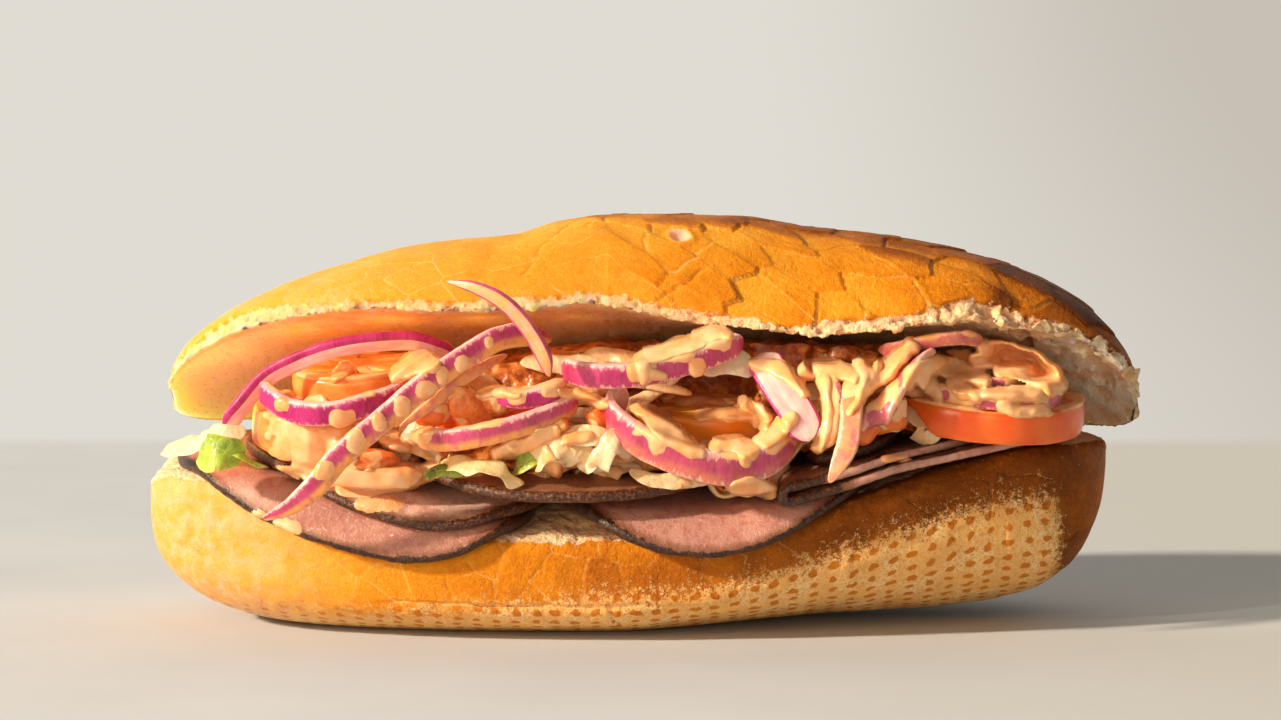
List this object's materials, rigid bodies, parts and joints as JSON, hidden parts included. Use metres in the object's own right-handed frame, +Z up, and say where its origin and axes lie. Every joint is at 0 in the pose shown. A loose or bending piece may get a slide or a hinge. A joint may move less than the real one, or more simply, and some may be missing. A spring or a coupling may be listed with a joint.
{
  "type": "roast beef sub",
  "caption": "Crusty long roll split along its front and filled with draped roast beef, tomato, dressed shredded lettuce and red onion strips.",
  "frame": {"origin": "under the middle of the sub's box, on the surface it rests on", "axes": "+X runs along the roll towards its right end as seen from the open side, the filled mouth opens towards -Y, +Z is up"},
  "size_m": [0.2046, 0.0895, 0.0843],
  "materials": {
    "crust": "golden crust, cracked, with a pale crumb where cut",
    "beef": "pink roast beef with a dark peppery edge, moist",
    "tomato": "wet orange-red skin and flesh",
    "onion": "red onion, white flesh with a purple skin",
    "salad": "shredded lettuce coated in a tan sauce",
    "lettuce": "fresh green leaf"
  },
  "bodies": {
    "root": {"beef_1": "beef", "beef_2": "beef", "beef_3": "beef", "beef_4": "beef", "beef_5": "beef", "beef_6": "beef", "lettuce_1": "lettuce", "lettuce_2": "lettuce", "onion_01": "onion", "onion_02": "onion", "onion_03": "onion", "onion_04": "onion", "onion_05": "onion", "onion_06": "onion", "onion_07": "onion", "onion_08": "onion", "onion_09": "onion", "onion_10": "onion", "onion_11": "onion", "onion_12": "onion", "onion_13": "onion", "onion_14": "onion", "onion_15": "onion", "onion_16": "onion", "onion_17": "onion", "roll_bottom": "crust", "roll_top": "crust", "salad": "salad", "tomato_1": "tomato", "tomato_2": "tomato", "tomato_3": "tomato", "tomato_4": "tomato", "tomato_5": "tomato"}
  },
  "joints": []
}
